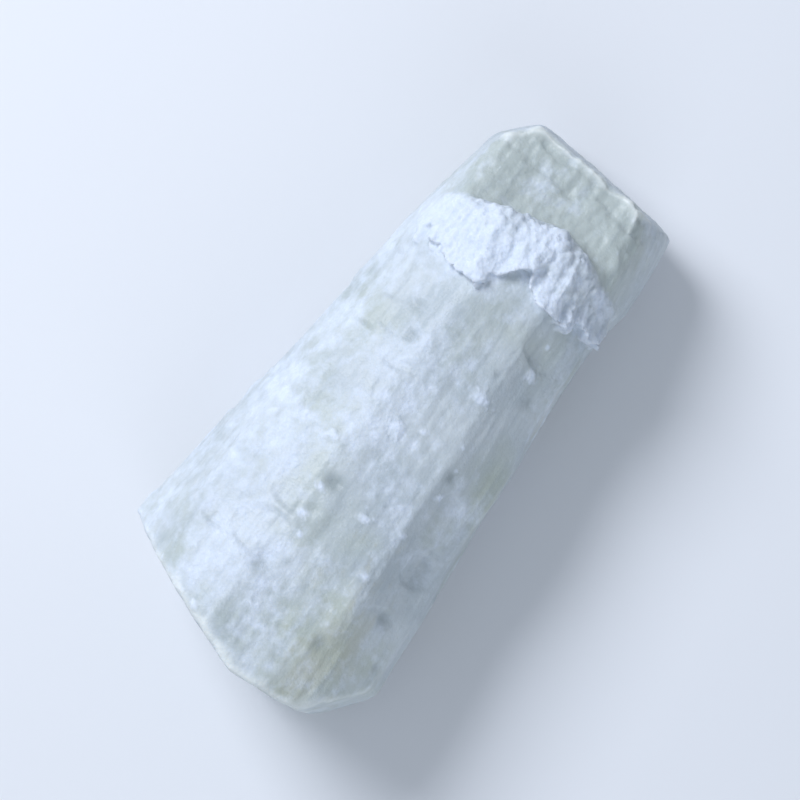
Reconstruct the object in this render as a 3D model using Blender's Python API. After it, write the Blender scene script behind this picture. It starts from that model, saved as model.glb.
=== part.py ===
"""A peeled, knife-cut length of cassava root, modelled the way it is made.

A tapered blank stands for the grown root. Long knife strokes peel it into soft-edged flats, chops
square off its thick end, and its thin end is chopped part of the way and then snapped, which leaves
a raised, torn lip and a lower ledge. The underside is one long stroke, and the piece rests on it.

Units are metres, +Z is up and +X runs along the root towards its thin, snapped end. The origin is
the middle of the bounding box, on the flat underside.
"""

import math

import bmesh
import bpy
from mathutils import Matrix, Vector, noise

MM = 0.001

# Driving dimensions
LENGTH = 72 * MM
BLANK_RADIUS = 26 * MM
UNDERSIDE_DEPTH = 11.8 * MM

# Knife strokes of the peeling, as (direction round the root in degrees, depth from its axis at
# mid-length, taper in degrees). 0 is +Y, 90 is up. A taper over 0 narrows the root towards +X.
PEEL_STROKES = (
    (98, 13.3 * MM, 2.8),
    (66, 13.7 * MM, 4.4),
    (27, 14.6 * MM, 6.3),
    (-12, 15.1 * MM, 7.0),
    (-50, 14.4 * MM, 4.2),
    (-90, 13.2 * MM, 0.4),
    (-134, 14.2 * MM, 3.2),
    (177, 13.8 * MM, 3.2),
    (137, 13.9 * MM, 3.4),
)

# Short strokes that trim a corner at one end and run out towards the middle
TRIM_STROKES = (
    (46, 18.3 * MM, -3.6),
    (116, 16.6 * MM, -2.6),
    (-31, 18.6 * MM, -3.0),
    (-158, 17.0 * MM, -1.6),
    (7, 16.6 * MM, 11.5),
    (82, 15.0 * MM, 8.0),
    (-68, 15.4 * MM, 6.0),
    (157, 16.3 * MM, 9.5),
)

# Chops across the root, as (point that the blade passes, way it faces)
THICK_END_CHOPS = (
    ((-0.440 * LENGTH, 8.8 * MM, 0), (-0.92, 0.38, -0.02)),
    ((-0.490 * LENGTH, -5.0 * MM, 0), (-1.0, -0.03, -0.03)),
    ((-0.452 * LENGTH, -12.2 * MM, 0), (-0.66, -0.75, 0.02)),
)
THIN_END_CHOPS = (
    ((0.500 * LENGTH, 2.0 * MM, 0), (0.985, -0.12, 0.12)),
    ((0.462 * LENGTH, 9.4 * MM, 0), (0.66, 0.74, 0.10)),
)

# The chop that stopped short: the root snapped off beyond it and left a ledge. Seen from above,
# the edge of the ledge comes to a blunt nose, and falls back from it on either side
NOSE = Vector((26.5, -3.4, 8.0)) * MM
NOSE_TURN_LEFT = math.radians(14)
NOSE_TURN_RIGHT = math.radians(20)
LEDGE_SLOPE = math.radians(10)
CHOP_LEAN = math.radians(16)
LIP_SETBACK = 3.3 * MM
LIP_WIDTH = 3.8 * MM
LIP_RISE = 1.3 * MM
SWELL_RISE = 1.5 * MM

# Relief of this solid, and the size of the cells that carry it
CELL = 2.2 * MM
SLIVER = 0.25 * MM
WEAR_PASSES = 2
WAVE_LENGTH = 14 * MM
WAVE_HEIGHT = 0.6 * MM
WAVE_SEED = 7

FLESH_COLOUR = (0.72, 0.74, 0.72, 1)
FLESH_ROUGHNESS = 0.6
SHARP_ANGLE = math.radians(32)


def clear_scene():
    for obj in list(bpy.data.objects):
        bpy.data.objects.remove(obj)


def everything(bm):
    return bm.verts[:] + bm.edges[:] + bm.faces[:]


def cut_away(bm, point, facing):
    """Removes what lies beyond a plane, and closes the cut with one flat face."""
    cut = bmesh.ops.bisect_plane(
        bm,
        geom=everything(bm),
        plane_co=Vector(point),
        plane_no=Vector(facing).normalized(),
        clear_outer=True,
    )
    rim = [item for item in cut["geom_cut"] if isinstance(item, bmesh.types.BMEdge)]
    if rim:
        bmesh.ops.holes_fill(bm, edges=rim)


def stroke_plane(direction, depth, taper):
    """The plane of a knife stroke along the root, as (point, way it faces)."""
    around, lean = math.radians(direction), math.radians(taper)
    outward = Vector((0, math.cos(around), math.sin(around)))
    return outward * depth, outward * math.cos(lean) + Vector((math.sin(lean), 0, 0))


def peeled_root():
    """The blank with every full knife cut made, as a bmesh."""
    bm = bmesh.new()
    bmesh.ops.create_cone(
        bm,
        cap_ends=True,
        segments=12,
        radius1=BLANK_RADIUS,
        radius2=BLANK_RADIUS,
        depth=LENGTH * 1.3,
        matrix=Matrix.Rotation(math.radians(90), 4, "Y"),
    )
    for stroke in PEEL_STROKES + TRIM_STROKES:
        cut_away(bm, *stroke_plane(*stroke))
    for point, facing in THICK_END_CHOPS + THIN_END_CHOPS:
        cut_away(bm, point, facing)
    return bm


def nose_fall(beside):
    """How far the edge of the ledge has fallen back, at a place beside the nose."""
    return abs(beside) * math.tan(NOSE_TURN_LEFT if beside > 0 else NOSE_TURN_RIGHT)


def snapped_block():
    """What broke off above the ledge: a block that the Boolean takes away."""
    bm = bmesh.new()
    bmesh.ops.create_cube(bm, size=LENGTH)
    half = LENGTH / 2
    bmesh.ops.translate(bm, verts=bm.verts, vec=(half, 0, half))
    bmesh.ops.bisect_plane(bm, geom=everything(bm), plane_co=(0, 0, 0), plane_no=(0, 1, 0))
    for vertex in bm.verts:
        vertex.co.x -= vertex.co.z * math.tan(CHOP_LEAN) + nose_fall(vertex.co.y)
    bmesh.ops.rotate(bm, verts=bm.verts, cent=(0, 0, 0), matrix=Matrix.Rotation(LEDGE_SLOPE, 3, "Y"))
    bmesh.ops.translate(bm, verts=bm.verts, vec=NOSE)
    block = new_object("snapped_block", bm)
    block.hide_render = True
    block.display_type = "WIRE"
    return block


def new_object(name, bm):
    mesh = bpy.data.meshes.new(name)
    bm.to_mesh(mesh)
    bm.free()
    obj = bpy.data.objects.new(name, mesh)
    bpy.context.scene.collection.objects.link(obj)
    return obj


def snapped_root(blank, block):
    """The peeled root with the ledge cut into its thin end, as a bmesh."""
    snap = blank.modifiers.new("snap", "BOOLEAN")
    snap.object = block
    snap.operation = "DIFFERENCE"
    graph = bpy.context.evaluated_depsgraph_get()
    bm = bmesh.new()
    bm.from_object(blank, graph)
    bmesh.ops.dissolve_limit(bm, angle_limit=math.radians(0.5), verts=bm.verts, edges=bm.edges)
    return bm


def slice_into_cells(bm):
    """Scores the surface with planes a cell apart, so that it can carry relief."""
    reach = LENGTH * 0.55
    steps = range(-int(reach / CELL), int(reach / CELL) + 1)
    for axis in (Vector((1, 0, 0)), Vector((0, 1, 0)), Vector((0, 0, 1))):
        for step in steps:
            bmesh.ops.bisect_plane(
                bm,
                geom=everything(bm),
                plane_co=axis * (step + 0.5) * CELL,
                plane_no=axis,
            )
    bmesh.ops.remove_doubles(bm, verts=bm.verts, dist=SLIVER)


def wear_arrises(bm):
    """Rounds the edges that the blade left; the flats between them stay as they are."""
    every_way = {"use_axis_x": True, "use_axis_y": True, "use_axis_z": True}
    for _ in range(WEAR_PASSES):
        bmesh.ops.smooth_vert(bm, verts=bm.verts, factor=0.5, **every_way)


def smooth_step(low, high, value):
    share = min(max((value - low) / (high - low), 0), 1)
    return share * share * (3 - 2 * share)


def lip_rise(place):
    """How far the torn lip stands up along the edge of the ledge, on the upper side only."""
    across = place.x - NOSE.x + nose_fall(place.y - NOSE.y) + LIP_SETBACK
    ragged = 0.75 + 0.5 * noise.noise(place / (5 * MM))
    upper = smooth_step(8.5 * MM, 11.5 * MM, place.z)
    return LIP_RISE * ragged * math.exp(-((across / LIP_WIDTH) ** 2)) * upper


def swell_rise(place):
    """How far the -Y side stands out beyond the lip, where the peeling stroke stopped."""
    return SWELL_RISE * smooth_step(18 * MM, 25 * MM, place.x) * smooth_step(6 * MM, 12 * MM, -place.y)


def wave_shift(place):
    """The slow unevenness of a grown root that was peeled by hand."""
    return WAVE_HEIGHT * noise.noise_vector(place / WAVE_LENGTH)


def raise_relief(bm):
    noise.seed_set(WAVE_SEED)
    for vertex in bm.verts:
        place = vertex.co.copy()
        vertex.co += wave_shift(place)
        vertex.co.z += lip_rise(place)
        vertex.co.y -= swell_rise(place)


def rest_on_underside(bm):
    """Cuts the underside flat and puts the origin at the middle of the bounding box, on that flat."""
    cut_away(bm, (0, 0, -UNDERSIDE_DEPTH), (0, 0, -1))
    places = [v.co for v in bm.verts]
    middle = [(min(p[i] for p in places) + max(p[i] for p in places)) / 2 for i in (0, 1)]
    bmesh.ops.translate(bm, verts=bm.verts, vec=(-middle[0], -middle[1], UNDERSIDE_DEPTH))


def flesh_material():
    material = bpy.data.materials.new("cassava_flesh")
    material.use_nodes = True
    shader = material.node_tree.nodes["Principled BSDF"]
    shader.inputs["Base Color"].default_value = FLESH_COLOUR
    shader.inputs["Roughness"].default_value = FLESH_ROUGHNESS
    shader.inputs["Metallic"].default_value = 0
    return material


def build():
    clear_scene()
    blank = new_object("blank", peeled_root())
    bm = snapped_root(blank, snapped_block())
    bpy.data.objects.remove(blank)
    slice_into_cells(bm)
    wear_arrises(bm)
    raise_relief(bm)
    rest_on_underside(bm)
    piece = new_object("cassava_piece", bm)
    piece.data.materials.append(flesh_material())
    piece.data.shade_smooth()
    piece.data.set_sharp_from_angle(angle=SHARP_ANGLE)


build()
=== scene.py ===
import math
import random

import bmesh
import bpy
import numpy as np
from mathutils import Matrix, Vector, noise
from mathutils.bvhtree import BVHTree


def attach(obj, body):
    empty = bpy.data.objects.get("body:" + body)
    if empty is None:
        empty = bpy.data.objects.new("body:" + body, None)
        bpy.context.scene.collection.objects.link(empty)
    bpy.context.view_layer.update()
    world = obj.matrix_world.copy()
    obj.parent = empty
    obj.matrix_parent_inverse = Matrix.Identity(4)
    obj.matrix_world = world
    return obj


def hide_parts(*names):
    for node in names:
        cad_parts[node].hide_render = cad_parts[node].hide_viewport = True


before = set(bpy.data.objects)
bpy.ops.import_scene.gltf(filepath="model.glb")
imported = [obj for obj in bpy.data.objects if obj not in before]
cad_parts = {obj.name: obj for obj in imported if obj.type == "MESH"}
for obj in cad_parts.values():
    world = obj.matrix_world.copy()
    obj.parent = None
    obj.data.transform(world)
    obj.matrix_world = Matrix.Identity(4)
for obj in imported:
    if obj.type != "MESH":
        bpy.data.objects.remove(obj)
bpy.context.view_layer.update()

mm = 0.001


# Camera, light and floor

view = {
    "target": Vector((0, 0, 12)) * mm,
    "upward": 35,  # degrees from +X to the way that points up in the view
    "steepness": 86,  # degrees above the floor
    "distance": 0.50,
    "lens": 195,
}

studio = {
    "floorColour": "#e4e6e8", "floorReach": 1.5, "floorRoughness": 0.7,
    "roomColour": "#d8e1ef", "roomStrength": 0.52,
    "keyPlace": (0.08, 0.38, 0.44), "keyColour": "#f0f4ff", "keyPower": 2.8, "keyWidth": 0.28,
    "fillPlace": (-0.34, -0.30, 0.26), "fillColour": "#e0e8f6", "fillPower": 0.75, "fillWidth": 0.5,
}


def linearColour(code):
    # sRGB hex to the linear values that Blender works in
    shares = [int(code[i:i + 2], 16) / 255 for i in (1, 3, 5)]
    return [s / 12.92 if s <= 0.04045 else ((s + 0.055) / 1.055) ** 2.4 for s in shares] + [1]


def addNode(tree, kind, inputs=None, **settings):
    made = tree.nodes.new(kind)
    for name, value in settings.items():
        setattr(made, name, value)
    for socket, value in (inputs or {}).items():
        if isinstance(value, bpy.types.NodeSocket):
            tree.links.new(value, made.inputs[socket])
        else:
            made.inputs[socket].default_value = value
    return made


def aimedAt(back, up):
    # a turn that looks from the side that back names, with up towards the top
    back = back.normalized()
    right = up.cross(back).normalized()
    return Matrix((right, back.cross(right), back)).transposed().to_4x4()


def placeCamera():
    angle, rise = math.radians(view["upward"]), math.radians(view["steepness"])
    ahead = Vector((math.cos(angle), math.sin(angle), 0))
    back = Vector((0, 0, math.sin(rise))) - ahead * math.cos(rise)
    data = bpy.data.cameras.new("camera")
    data.lens = view["lens"]
    data.clip_start = 0.01
    camera = bpy.data.objects.new("camera", data)
    bpy.context.collection.objects.link(camera)
    place = view["target"] + back * view["distance"]
    camera.matrix_world = Matrix.Translation(place) @ aimedAt(back, ahead)
    bpy.context.scene.camera = camera


def placeLight(name):
    data = bpy.data.lights.new(name, "AREA")
    data.shape = "DISK"
    data.size = studio[name + "Width"]
    data.energy = studio[name + "Power"]
    data.color = linearColour(studio[name + "Colour"])[:3]
    light = bpy.data.objects.new(name, data)
    bpy.context.collection.objects.link(light)
    place = Vector(studio[name + "Place"])
    light.matrix_world = Matrix.Translation(place) @ aimedAt(place, Vector((1, 0, 0)))


def layFloor():
    bm = bmesh.new()
    bmesh.ops.create_grid(bm, x_segments=1, y_segments=1, size=studio["floorReach"])
    mesh = bpy.data.meshes.new("floor")
    bm.to_mesh(mesh)
    bm.free()
    floor = bpy.data.objects.new("floor", mesh)
    bpy.context.collection.objects.link(floor)
    paint = bpy.data.materials.new("matt painted board")
    paint.use_nodes = True
    shader = paint.node_tree.nodes["Principled BSDF"]
    shader.inputs["Base Color"].default_value = linearColour(studio["floorColour"])
    shader.inputs["Roughness"].default_value = studio["floorRoughness"]
    mesh.materials.append(paint)


def fillRoom():
    world = bpy.data.worlds.new("room")
    bpy.context.scene.world = world
    world.use_nodes = True
    room = world.node_tree.nodes["Background"]
    room.inputs["Color"].default_value = linearColour(studio["roomColour"])
    room.inputs["Strength"].default_value = studio["roomStrength"]


placeCamera()
placeLight("key")
placeLight("fill")
layFloor()
fillRoom()
bpy.context.scene.view_settings.view_transform = "Standard"
print("stage set")


# The peeled root. Lengths below are in millimetres, counted from the woody thread at its heart.
# A size is how far apart the swells of a relief are, along X, Y and Z where it has three values

root = {
    "cadNode": "cassava_piece",
    "heart": np.array((0, -1.55, 11.8)),  # a point on the woody thread, which runs along X
    "voxel": 0.31,
    "smoothPasses": 7,
    "seed": 11,
}

# Where each region begins and where it is full: (what is measured, 0 there, 1 there).
# past is how far beyond the ledge's edge, height is above the underside, nx and nz are facings
regions = {
    "under": [("nz", -0.8, -0.95), ("height", 0.6, 0.1)],
    "thickEnd": [("nx", -0.45, -0.75), ("x", -22, -25)],
    "thinEnd": [("nx", 0.45, 0.75), ("x", 27, 30)],
    "ledge": [("past", -1.2, 0.6), ("nz", 0.35, 0.6), ("z", 3.0, 4.5)],
    "riser": [("nx", 0.3, 0.6), ("past", -3.5, -2), ("past", 3.5, 1.5), ("z", 6, 8)],
    "arris": [("bulge", 0.04, 0.22)],
    # hollows, where the surface sinks below its smoothed copy; the flesh gets painted shade there
    "hollowShade": [("bulge", -0.04, -0.22)],
    # the edges of the cut ends, where a painted highlight goes
    "thickRim": [("x", -27, -31)],
    "thinRim": [("x", 29, 32), ("z", 1, 4)],
}
bulgePasses = 30  # how broadly the surface is smoothed to find what stands out of it

# What the peeling knife leaves along the sides, each as a size and a depth
peeling = {
    "strokeSize": (34, 5.5, 5.5), "strokeDepth": 0.22,
    "lumpSize": (7, 5, 5), "lumpDepth": 0.13,
    "fibreSize": (14, 0.8, 0.8), "fibreDepth": 0.075,
    "crumbSize": (1.7, 1.5, 1.5), "crumbDepth": 0.11,
    "crumbPatchSize": 7.5, "crumbPatch": (-0.3, 0.5), "crumbFacing": 0.3,
}

# Where a stroke of the knife ran out and left a small step
knifeStops = {
    "count": 34,
    "places": (-30, 20),
    "turns": (-0.9, 4.1),  # radians round the root, all but the underside
    "length": (6, 16), "width": (2.0, 4.6), "depth": (0.22, 0.55),
    "curve": 5,
    "drop": (0.4, -0.15),
}

# Marks on the sides. The chosen ones are (place along the root, direction round it in degrees,
# width, strength), and the rest are strewn. The strength is an eye's depth or a clump's height, and
# how much of a streak's colour shows. A squeeze over 1 makes a mark shorter along the root
sidePlaces = (-33, 20)

eyes = {
    "chosen": [
        (-12.6, 84, 1.6, 0.55),
        (-24.2, 78, 1.9, 0.6),
        (6.0, 72, 1.1, 0.35),
        (-4.5, 128, 1.2, 0.4),
    ],
    "strewn": 24, "turns": (0, 360), "width": (0.6, 1.5), "strength": (0.15, 0.45), "squeeze": 1.3,
    "rim": 0.35, "rimBreadth": 2.2,
    "pit": 1.35, "pitTightness": 1.4,
    # the eye shade is painted shade in each pit, darker the deeper the pit
    "shadeTightness": 1.3, "darkest": 0.5,  # an eye this deep is fully dark
}

# Streaks of inner skin that the knife missed
skinTraces = {
    "chosen": [(-31, 121, 2.4, 0.45), (-27, 133, 1.5, 0.35), (30, 150, 1.3, 0.4)],
    "strewn": 16, "turns": (140, 395), "width": (0.7, 1.9), "strength": (0.25, 0.75), "squeeze": 0.33,
    "raggedSize": (4, 1.1, 1.1), "ragged": 1.4,
}

# Small clumps of frost
clumps = {
    "chosen": [
        (-3.4, 93, 1.0, 0.34),
        (-8.4, 70, 0.9, 0.3),
        (-14.0, 104, 0.7, 0.25),
        (4.6, 118, 1.1, 0.22),
    ],
    "strewn": 30, "turns": (15, 165), "width": (0.3, 0.7), "strength": (0.06, 0.2), "squeeze": 1.3,
    "raggedSize": 0.8, "ragged": 1.6,
}

# The torn ridge across the top. Turns are in degrees
tornLip = {
    "front": 15.6, "frontTurn": 7,  # where the raised flap begins
    "notch": (-2.4, 2.2, 2.8),  # (place across the root, width, depth) of the pocket in its front
    "nose": (25.8, -3.4), "noseTurnLeft": 14, "noseTurnRight": 20,  # the edge where the ledge drops
    "frontEdge": (0, 0.9), "backEdge": (0.6, -0.8),
    "raggedSize": (3.4, 2.4, 2.4), "ragged": 1.9,
    # the flap slants and runs out sooner down the +Y side than down the -Y side
    "leftSide": (-2, 4), "slantTop": 12, "slantDepth": 8, "slant": 0.45,
    "foot": 0.5, "leftFoot": 3.5, "footFade": 5.5,
    "crest": 1.2, "crestWidth": 1.4,  # the highest line, counted from the front
    "rise": 1.4, "riseSize": (4, 2.6, 2.6), "riseLeast": 0.75, "riseWaver": 0.6,
    "backShare": 0.4, "crestShare": 0.85, "sunk": 0.4, "overhang": 0.6,
    "strandSize": (4.2, 0.9, 0.9), "strandDepth": 0.6,
    "crumbSize": 1.0, "crumbDepth": 0.42,
}

# The snapped ledge: low terraces of broken flesh, streaked along the root
ledge = {
    "waveSize": (8, 3.6, 3.6), "waveDepth": 0.30,
    "streakSize": (7, 0.8, 0.8), "streakDepth": 0.10,
    "crumbSize": (1.3, 0.9, 0.9), "crumbDepth": 0.13,
    "terraces": [(30.0, 0.38), (33.4, 0.28)],  # (place along the root, drop)
    "terraceSoftness": 0.4, "wanderSize": (3, 4.5, 4.5), "wander": 1.6,
}

cutEnd = {
    "dragSize": 0.9, "dragLength": 12, "dragDepth": 0.04, "dragSlant": 28,
    "waveSize": 5, "waveDepth": 0.12,
    "snapSize": 1.4, "snapDepth": 0.12,  # only on the thin end
    "threadRadius": 0.8, "threadDepth": 0.5,
    # cracks at the heart of each end: (end, direction in degrees, length)
    "cracks": [
        ("thickEnd", 75, 4.4),
        ("thickEnd", 198, 3.2),
        ("thickEnd", 318, 5.0),
        ("thinEnd", 140, 3.4),
    ],
    "crackWidth": 0.2, "crackDepth": 0.45, "crackWanderSize": 2.2, "crackWander": 0.5,
    "raySize": 1.1, "rayDepth": 0.06, "rayCircle": 8, "rayLength": 9, "rayStart": (1.5, 4),
    "ringRadius": 11.1, "ringTaper": 0.05, "ringWidth": 0.38,
    "ringWanderSize": 9, "ringWander": 0.9, "ringFaintSize": 3, "ringStrength": 0.75,
}

# The bloom of frost: what it starts from, and how much each thing adds to it
frost = {
    "start": -0.01,
    "patchSize": 8.5, "patches": 0.62,
    "fineSize": 1.6, "fine": 0.42,
    "keyFacingFrost": (0, 0.4, 0.256),  # frost and painted light on the side facing up and towards +Y, where the key light falls
    "marks": {"lip": 0.7, "lipFront": 0.6, "arris": 0.35, "hollowShade": -0.2, "ledge": -0.3, "thickEnd": -0.1},
    "lostUnder": 0.7,
    "grainSize": 0.8, "grainDepth": 0.11,
}

shownMarks = [
    "frost", "rim", "hollowShade", "lip", "ledge", "ring", "eyeShade", "trace", "crack", "ray", "thread",
]


def freshCopy(node):
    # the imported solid's loose triangles as one skin of small, even faces
    bm = bmesh.new()
    bm.from_mesh(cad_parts[node].data)
    bmesh.ops.remove_doubles(bm, verts=bm.verts, dist=0.001 * mm)
    mesh = bpy.data.meshes.new("copy")
    bm.to_mesh(mesh)
    bm.free()
    copy = bpy.data.objects.new("copy", mesh)
    bpy.context.collection.objects.link(copy)
    remesh = copy.modifiers.new("remesh", "REMESH")
    remesh.mode = "VOXEL"
    remesh.voxel_size = root["voxel"] * mm
    smooth = copy.modifiers.new("smooth", "SMOOTH")
    smooth.factor = 0.5
    smooth.iterations = root["smoothPasses"]
    shown = copy.evaluated_get(bpy.context.evaluated_depsgraph_get())
    skin = bpy.data.meshes.new_from_object(shown)
    bpy.data.objects.remove(copy)
    return skin


def step(low, high, value):
    share = np.clip((value - low) / (high - low), 0, 1)
    return share * share * (3 - 2 * share)


def bell(value):
    return np.exp(-(value ** 2))


noiseFade = 0.9  # how fast the finer layers of a noise fade
noiseGap = 2.1  # how much finer each layer is than the one before
seedShift = 31.7  # takes each seed to its own part of the noise


def grain(places, size, layers=3, seed=0):
    # fractal noise, about -1 to 1, with swells of the given size
    spots = (places / np.array(size) + seedShift * seed).tolist()
    return np.array([noise.fractal(spot, noiseFade, noiseGap, layers) for spot in spots])


def ridges(places, size, layers=3, seed=0):
    # noise with sharp crests, about 0 to 1
    spots = (places / np.array(size) + seedShift * seed).tolist()
    crests = [noise.ridged_multi_fractal(spot, noiseFade, noiseGap, layers, 1.0, 2.0) for spot in spots]
    return np.array(crests) / 2


def crystals(places, size, seed=0):
    # rounded cells, 1 in their middles and 0 between them, with gaps that 1.6 makes wide enough to show
    spots = (places / size + seedShift * seed).tolist()
    return np.array([1 - min(noise.voronoi(spot)[0][0] * 1.6, 1) for spot in spots])


def spread(values, links, passes):
    # each vertex takes half its value from its neighbours, again and again
    count = np.bincount(links.ravel(), minlength=len(values))
    for _ in range(passes):
        near = np.empty_like(values)
        for column in range(values.shape[1]):
            there = np.bincount(links[:, 0], values[links[:, 1], column], len(values))
            back = np.bincount(links[:, 1], values[links[:, 0], column], len(values))
            near[:, column] = (there + back) / count
        values = (values + near) / 2
    return values


class Skin:
    # the root's surface as arrays, in mm from its heart
    def __init__(self, mesh):
        amount = len(mesh.vertices)
        places = np.empty(amount * 3, np.float32)
        mesh.vertices.foreach_get("co", places)
        self.places = places.reshape(-1, 3).astype(float) / mm - root["heart"]
        normals = np.empty(amount * 3, np.float32)
        mesh.vertex_normals.foreach_get("vector", normals)
        self.normals = normals.reshape(-1, 3).astype(float)
        links = np.empty(len(mesh.edges) * 2, np.int32)
        mesh.edges.foreach_get("vertices", links)
        self.links = links.reshape(-1, 2)
        self.x, self.y, self.z = self.places.T
        self.nx, self.nz = self.normals[:, 0], self.normals[:, 2]
        self.turn = np.arctan2(self.z, self.y)
        self.reach = np.hypot(self.y, self.z)


def ledgeEdge(across):
    # how far along the root the ledge drops, for a place across it
    along, middle = tornLip["nose"]
    beside = across - middle
    turn = np.where(beside > 0, tornLip["noseTurnLeft"], tornLip["noseTurnRight"])
    return along - np.abs(beside) * np.tan(np.radians(turn))


def flapFront(across):
    # how far along the root the torn flap begins
    place, width, depth = tornLip["notch"]
    notch = depth * bell((across - place) / width)
    return tornLip["front"] - across * math.tan(math.radians(tornLip["frontTurn"])) + notch


def lipRegion(skin, past):
    # where the torn flap is, and where its crest is
    onLeft = step(*tornLip["leftSide"], skin.y)
    ragged = tornLip["ragged"] * grain(skin.places, tornLip["raggedSize"], 4, seed=4)
    fallen = np.clip(tornLip["slantTop"] - skin.z, 0, tornLip["slantDepth"]) * tornLip["slant"] * onLeft
    along = skin.x - flapFront(skin.y) + ragged - fallen
    foot = tornLip["foot"] + tornLip["leftFoot"] * onLeft
    upper = step(*tornLip["backEdge"], past) * step(foot, foot + tornLip["footFade"], skin.z)
    crest = bell((along - tornLip["crest"]) / tornLip["crestWidth"])
    return step(*tornLip["frontEdge"], along) * upper, crest * upper


def markRegions(skin):
    # where the root is chopped, torn, sharp or hollow, each 0 to 1
    past = skin.x - ledgeEdge(skin.y)
    soft = spread(skin.places, skin.links, bulgePasses)
    measures = {
        "x": skin.x, "z": skin.z, "nx": skin.nx, "nz": skin.nz,
        "past": past,
        "height": skin.z - skin.z.min(),
        "bulge": ((skin.places - soft) * skin.normals).sum(axis=1),
    }
    marks = {}
    for name, edges in regions.items():
        marks[name] = math.prod(step(low, high, measures[kind]) for kind, low, high in edges)
    marks["lip"], marks["lipFront"] = lipRegion(skin, past)
    # a painted highlight along the sharp edges of the cut ends
    marks["rim"] = marks["arris"] * np.maximum(marks["thickRim"], marks["thinRim"])
    cut = marks["thickEnd"] + marks["thinEnd"] + marks["ledge"] + marks["riser"]
    marks["side"] = 1 - np.clip(cut, 0, 1)
    return marks


def frostBloom(skin, marks):
    # frost settles on torn flesh and along edges, and lies whiter on the side facing the key light, which is
    # partly painted light
    bloom = frost["start"] + frost["patches"] * grain(skin.places, frost["patchSize"], 4, seed=2)
    bloom += frost["fine"] * grain(skin.places, frost["fineSize"], 3, seed=3)
    # whiter on the side that faces the key light: partly frost, partly painted light
    bloom += np.maximum(skin.normals @ np.array(frost["keyFacingFrost"]), 0)
    for name, amount in frost["marks"].items():
        bloom += amount * marks[name]
    return np.clip(bloom, 0, 1) * (1 - frost["lostUnder"] * marks["under"])


def peelRelief(skin, marks):
    strokes = grain(skin.places, peeling["strokeSize"], 2, seed=5) * peeling["strokeDepth"]
    lumps = grain(skin.places, peeling["lumpSize"], 3, seed=6) * peeling["lumpDepth"]
    fibres = grain(skin.places, peeling["fibreSize"], 2, seed=7) * peeling["fibreDepth"]
    crumbs = grain(skin.places, peeling["crumbSize"], 3, seed=8) * peeling["crumbDepth"]
    patches = grain(skin.places, peeling["crumbPatchSize"], 2, seed=9) + skin.nz * peeling["crumbFacing"]
    return marks["side"] * (strokes + lumps + fibres + crumbs * step(*peeling["crumbPatch"], patches))


def knifeRelief(skin):
    pick = random.Random(root["seed"] + 1)
    shift = np.zeros(len(skin.x))
    for _ in range(knifeStops["count"]):
        stop = pick.uniform(*knifeStops["places"])
        turn = pick.uniform(*knifeStops["turns"])
        way = pick.choice((-1, 1))
        length, width, depth = (pick.uniform(*knifeStops[name]) for name in ("length", "width", "depth"))
        aside = skin.reach * ((skin.turn - turn + math.pi) % (2 * math.pi) - math.pi)
        along = (skin.x - stop) * way + aside ** 2 / (2 * knifeStops["curve"])
        share = step(-length, 0, along) * step(*knifeStops["drop"], along)
        shift -= depth * share * np.clip(1 - (aside / width) ** 2, 0, 1)
    return shift


def strewn(skin, surface, kind, seed):
    # for each mark on the sides, its strength and how far off each point is, squared, in its own widths
    pick = random.Random(seed)
    drawn = []
    for _ in range(kind["strewn"]):
        ranges = (sidePlaces, kind["turns"], kind["width"], kind["strength"])
        drawn.append([pick.uniform(*ends) for ends in ranges])
    for along, turn, width, strength in kind["chosen"] + drawn:
        way = Vector((0, math.cos(math.radians(turn)), math.sin(math.radians(turn))))
        hit = surface.ray_cast(Vector((along, 0, 0)), way)[0]
        apart = (skin.places - np.array(hit)) / width
        yield strength, (apart[:, 0] * kind["squeeze"]) ** 2 + apart[:, 1] ** 2 + apart[:, 2] ** 2


def eyeRelief(skin, surface):
    # shallow pits with soft rims, wider across the root than along it, and painted shade in each pit that
    # grows with its depth
    shift, shade = np.zeros((2, len(skin.x)))
    for depth, gone in strewn(skin, surface, eyes, root["seed"]):
        rim = eyes["rim"] * np.exp(-gone / eyes["rimBreadth"])
        shift += depth * (rim - eyes["pit"] * np.exp(-gone * eyes["pitTightness"]))
        shade = np.maximum(shade, np.exp(-gone * eyes["shadeTightness"]) * depth / eyes["darkest"])
    return shift, np.clip(shade, 0, 1)


def traceMarks(skin, surface):
    # long ragged streaks, thin where the blade nearly took them
    shade = np.zeros(len(skin.x))
    torn = skinTraces["ragged"] * grain(skin.places, skinTraces["raggedSize"], 4, seed=25)
    ragged = np.clip(1 + torn, 0.15, 4)
    for strength, gone in strewn(skin, surface, skinTraces, root["seed"] + 3):
        shade = np.maximum(shade, strength * np.exp(-((gone * ragged) ** 1.4)))
    return shade


def clumpRelief(skin, surface):
    shift, white = np.zeros((2, len(skin.x)))
    uneven = clumps["ragged"] * grain(skin.places, clumps["raggedSize"], 2, seed=21)
    ragged = np.clip(1 + uneven, 0.2, 4)
    for height, gone in strewn(skin, surface, clumps, root["seed"] + 2):
        there = np.exp(-((gone * ragged) ** 1.5))
        shift = np.maximum(shift, height * there)
        white = np.maximum(white, there)
    return shift, white


def lipRelief(skin, marks):
    # a flap of torn fibres, crusted with ice
    strands = ridges(skin.places, tornLip["strandSize"], 3, seed=12) * tornLip["strandDepth"]
    crumbs = crystals(skin.places, tornLip["crumbSize"], seed=24) * tornLip["crumbDepth"]
    waver = tornLip["riseWaver"] * grain(skin.places, tornLip["riseSize"], 2, seed=13)
    flap = tornLip["rise"] * (tornLip["riseLeast"] + waver)
    share = tornLip["backShare"] + tornLip["crestShare"] * marks["lipFront"]
    return marks["lip"] * (flap * share + strands + crumbs - tornLip["sunk"])


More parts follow.
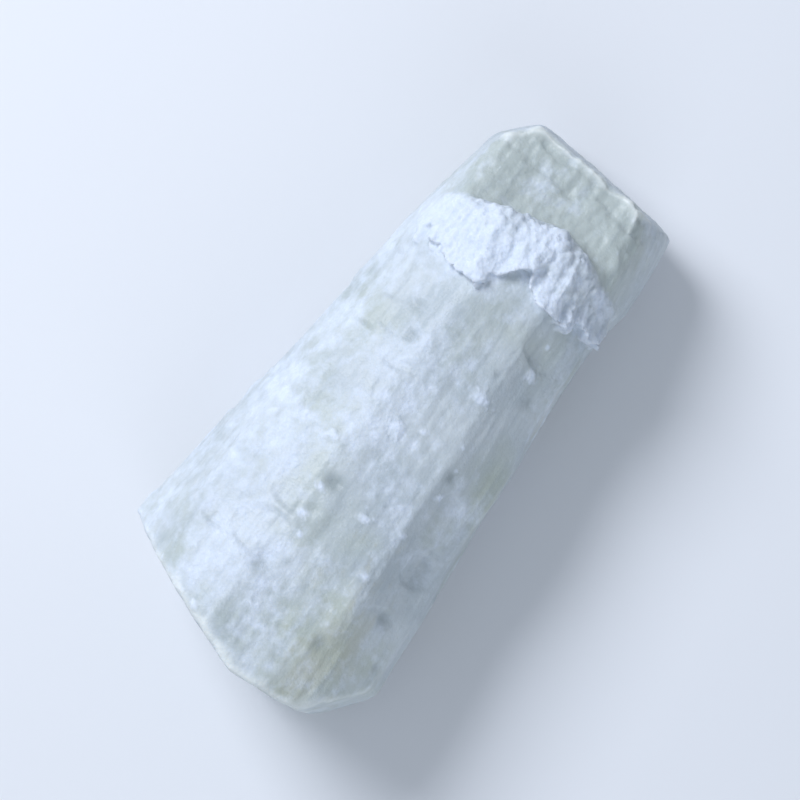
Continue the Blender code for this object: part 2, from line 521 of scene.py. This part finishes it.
def ledgeRelief(skin, marks):
    shift = grain(skin.places, ledge["waveSize"], 3, seed=14) * ledge["waveDepth"]
    shift += ridges(skin.places, ledge["streakSize"], 3, seed=26) * ledge["streakDepth"]
    shift += grain(skin.places, ledge["crumbSize"], 3, seed=15) * ledge["crumbDepth"]
    wander = grain(skin.places, ledge["wanderSize"], 4, seed=27) * ledge["wander"]
    soft = ledge["terraceSoftness"]
    for place, drop in ledge["terraces"]:
        shift -= drop * step(-soft, soft, skin.x + wander - place) * (1 - marks["rim"])
    return np.maximum(marks["ledge"], marks["riser"]) * shift


def bladeRelief(skin, marks):
    # the blade's drag lines and slow waves, and the rougher face where the root snapped
    slant = math.radians(cutEnd["dragSlant"])
    across = skin.y * math.sin(slant) - skin.z * math.cos(slant)
    along = skin.y * math.cos(slant) + skin.z * math.sin(slant)
    long = cutEnd["dragLength"]
    spots = np.stack((across / cutEnd["dragSize"], along / long, skin.x / long), axis=1)
    shift = grain(spots, 1, 3, seed=16) * cutEnd["dragDepth"]
    shift += grain(skin.places, cutEnd["waveSize"], 3, seed=17) * cutEnd["waveDepth"]
    return shift + marks["thinEnd"] * grain(skin.places, cutEnd["snapSize"], 3, seed=28) * cutEnd["snapDepth"]


def rayPattern(skin):
    # rays run out from the woody thread
    around = cutEnd["rayCircle"] / cutEnd["raySize"]
    out = skin.reach / cutEnd["rayLength"]
    spots = np.stack((np.cos(skin.turn) * around, np.sin(skin.turn) * around, out), axis=1)
    return grain(spots, 1, 3, seed=20) * step(*cutEnd["rayStart"], skin.reach)


def crackPattern(skin, marks):
    # cracks open at the heart and close towards the skin
    cracks = np.zeros(len(skin.x))
    wander = grain(skin.places, cutEnd["crackWanderSize"], 2, seed=18) * cutEnd["crackWander"]
    for end, turn, length in cutEnd["cracks"]:
        turn = math.radians(turn)
        out = skin.y * math.cos(turn) + skin.z * math.sin(turn)
        aside = skin.z * math.cos(turn) - skin.y * math.sin(turn) + wander
        width = cutEnd["crackWidth"] * np.clip(1 - out / length, 0.05, 1)
        gap = bell(aside / width) * step(length, length * 0.6, out) * step(-0.2, 0.2, out)
        cracks = np.maximum(cracks, gap * marks[end])
    return cracks


def ringPattern(skin):
    # the ring under the skin, which wanders and fades in places
    wander = cutEnd["ringWander"] * grain(skin.places, cutEnd["ringWanderSize"], 2, seed=22)
    ring = cutEnd["ringRadius"] - cutEnd["ringTaper"] * skin.x + wander
    faint = cutEnd["ringStrength"] + grain(skin.places, cutEnd["ringFaintSize"], 2, seed=23)
    return np.clip(faint, 0.15, 1) * bell((skin.reach - ring) / cutEnd["ringWidth"])


def endRelief(skin, marks):
    faces = marks["thickEnd"] + marks["thinEnd"]
    rays = rayPattern(skin)
    thread = bell(skin.reach / cutEnd["threadRadius"])
    marks["crack"] = crackPattern(skin, marks)
    marks["ray"] = faces * rays
    marks["thread"] = faces * thread
    marks["ring"] = faces * ringPattern(skin)
    shift = bladeRelief(skin, marks) + rays * cutEnd["rayDepth"]
    shift -= thread * cutEnd["threadDepth"] + marks["crack"] * cutEnd["crackDepth"]
    return faces * shift


def shapeRoot():
    mesh = freshCopy(root["cadNode"])
    skin = Skin(mesh)
    faces = [tuple(face.vertices) for face in mesh.polygons]
    surface = BVHTree.FromPolygons(skin.places.tolist(), faces)
    marks = markRegions(skin)
    marks["frost"] = frostBloom(skin, marks)
    print("root has", len(mesh.vertices), "vertices")

    eyeShift, marks["eyeShade"] = eyeRelief(skin, surface)
    clumpShift, clumpWhite = clumpRelief(skin, surface)
    marks["frost"] = np.maximum(marks["frost"], clumpWhite)
    marks["trace"] = traceMarks(skin, surface) * marks["side"] * (1 - marks["lip"])
    shift = peelRelief(skin, marks) + (eyeShift + clumpShift + knifeRelief(skin)) * marks["side"]
    shift += endRelief(skin, marks) + lipRelief(skin, marks) + ledgeRelief(skin, marks)
    grains = crystals(skin.places, frost["grainSize"], seed=19) * frost["grainDepth"]
    shift += grains * marks["frost"] * (0.5 + 0.5 * marks["lip"])
    shift *= 1 - 0.5 * marks["under"]  # the underside stays flatter than the rest

    skin.places += skin.normals * shift[:, None]
    skin.places[:, 0] -= tornLip["overhang"] * marks["lip"] * marks["lipFront"]
    placed = (skin.places + root["heart"]) * mm
    placed[:, 2] = np.maximum(placed[:, 2], 0)
    mesh.vertices.foreach_set("co", placed.astype(np.float32).ravel())
    for name in shownMarks:
        layer = mesh.attributes.new(name, "FLOAT", "POINT")
        layer.data.foreach_set("value", marks[name].astype(np.float32))
    mesh.materials.clear()
    mesh.shade_smooth()
    mesh.name = "cassava_root"
    piece = bpy.data.objects.new("cassava_root", mesh)
    bpy.context.collection.objects.link(piece)
    return piece


# Frozen cassava flesh: starchy and fibrous, cut with a kitchen knife. A dense, faintly see-through
# white that is matt where it is cut, duller where it is bare and chalky where frost lies on it

flesh = {
    # the hollow colour is painted shade, laid in the hollows and in the eye pits
    "white": "#c8d0d3", "shade": "#aeb9be", "olive": "#b1baa9", "frost": "#dee7f3",
    # the rim colour is a painted highlight along the edges of the cut ends
    "hollowShade": "#939e9d", "fibre": "#a1adb1", "rim": "#dfe4e0", "ring": "#a3a99a",
    "trace": "#bab48c", "thread": "#8c8368",
    "ior": 1.42,  # wet starch and ice
    "roughness": (0.38, 0.7),  # bare flesh, and flesh under frost
    "seeThrough": 0.28,
    "scatter": 1.0,  # how far light wanders in it, in mm
    "scatterColours": (1.0, 0.9, 0.8),
    "crystal": 0.55,  # mm. Real hoar frost is nearer 0.2, which would be too fine to show
    "frostShown": (0.55, 1.55),
}

# Noise in the flesh. A width in mm takes in one swell and the gap beside it, so a fibre is about
# 0.55 mm wide and a pore 0.35. shown gives the values where a pattern starts and where it is full
patterns = {
    "patch": {"width": 9, "detail": 5, "roughness": 0.6, "shown": (0.38, 0.66)},
    "olive": {"width": 13, "detail": 3, "roughness": 0.55, "shown": (0.5, 0.72), "shift": (0.31, 0.17, 0.05)},
    "fibre": {"width": 1.1, "detail": 4, "roughness": 0.6, "shown": (0.5, 0.66), "stretch": (0.06, 1, 1)},
    "pore": {"width": 0.7, "detail": 3, "roughness": 0.65},
    "frostGrain": {"width": 0.9, "detail": 3, "roughness": 0.7},
}

# What lies over the white, from the bottom up: (pattern or mark, colour, how strongly)
layers = [
    ("patch", "shade", 0.7),
    ("olive", "olive", 0.6),
    ("ledge", "olive", 0.4),
    ("fibre", "fibre", 0.28),
    ("trace", "trace", 0.6),
    # painted shade in the hollows
    ("hollowShade", "hollowShade", 0.3),
    # painted shade in the eye pits
    ("eyeShade", "hollowShade", 0.65),
    # the cracks take the thread's dark colour as painted shade in their gaps
    ("crack", "thread", 0.55),
    ("ring", "ring", 0.75),
    ("ray", "shade", 0.8),
    ("thread", "thread", 0.7),
    ("bloom", "frost", 0.9),
    # painted highlight along the edges of the cut ends
    ("rim", "rim", 0.8),
]

# The finest relief, as a strength and a depth in mm. The frost's strength is its own bloom
fineRelief = {"fibre": (0.55, 0.14), "pore": (0.8, 0.15), "crystalDepth": 0.12}


def perMetre(width):
    return 1000 / width


def fleshMaterial():
    material = bpy.data.materials.new("frozen cassava flesh, knife-cut")
    material.use_nodes = True
    tree = material.node_tree
    shader = tree.nodes["Principled BSDF"]
    spot = addNode(tree, "ShaderNodeTexCoord").outputs["Object"]
    share = {}
    for name in shownMarks:
        share[name] = addNode(tree, "ShaderNodeAttribute", attribute_name=name).outputs["Fac"]

    noises = {}
    for name, pattern in patterns.items():
        place = addNode(tree, "ShaderNodeMapping", {
            "Vector": spot,
            "Location": pattern.get("shift", (0, 0, 0)),
            "Scale": pattern.get("stretch", (1, 1, 1)),
        })
        noises[name] = addNode(tree, "ShaderNodeTexNoise", {
            "Vector": place.outputs[0],
            "Scale": perMetre(pattern["width"]),
            "Detail": pattern["detail"],
            "Roughness": pattern["roughness"],
        }).outputs["Fac"]
        if "shown" in pattern:
            low, high = pattern["shown"]
            inputs = {"Value": noises[name], "From Min": low, "From Max": high}
            share[name] = addNode(tree, "ShaderNodeMapRange", inputs).outputs[0]

    # the frost ends in a grainy edge
    edge = addNode(tree, "ShaderNodeMath", {0: share["frost"], 1: noises["frostGrain"]}, operation="ADD")
    low, high = flesh["frostShown"]
    inputs = {"Value": edge.outputs[0], "From Min": low, "From Max": high}
    share["bloom"] = addNode(tree, "ShaderNodeMapRange", inputs).outputs[0]

    colour = linearColour(flesh["white"])
    for name, tint, amount in layers:
        inputs = {0: share[name], 1: amount}
        scaled = addNode(tree, "ShaderNodeMath", inputs, operation="MULTIPLY", use_clamp=True)
        inputs = {0: scaled.outputs[0], 6: colour, 7: linearColour(flesh[tint])}
        colour = addNode(tree, "ShaderNodeMix", inputs, data_type="RGBA").outputs[2]
    tree.links.new(colour, shader.inputs["Base Color"])

    bare, frosted = flesh["roughness"]
    inputs = {"Value": share["bloom"], "To Min": bare, "To Max": frosted}
    rough = addNode(tree, "ShaderNodeMapRange", inputs)
    tree.links.new(rough.outputs[0], shader.inputs["Roughness"])
    shader.inputs["IOR"].default_value = flesh["ior"]
    shader.inputs["Subsurface Weight"].default_value = flesh["seeThrough"]
    shader.inputs["Subsurface Radius"].default_value = flesh["scatterColours"]
    shader.inputs["Subsurface Scale"].default_value = flesh["scatter"] * mm

    ice = addNode(tree, "ShaderNodeTexVoronoi", {"Vector": spot, "Scale": perMetre(flesh["crystal"])})
    reliefs = [(noises[name], *fineRelief[name]) for name in ("fibre", "pore")]
    reliefs.append((ice.outputs["Distance"], share["bloom"], fineRelief["crystalDepth"]))
    under = {}
    for height, strength, depth in reliefs:
        inputs = {"Height": height, "Strength": strength, "Distance": depth * mm, **under}
        under = {"Normal": addNode(tree, "ShaderNodeBump", inputs).outputs[0]}
    tree.links.new(under["Normal"], shader.inputs["Normal"])
    return material


piece = shapeRoot()
piece.data.materials.append(fleshMaterial())
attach(piece, "root")
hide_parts(root["cadNode"])
print("root shaped")
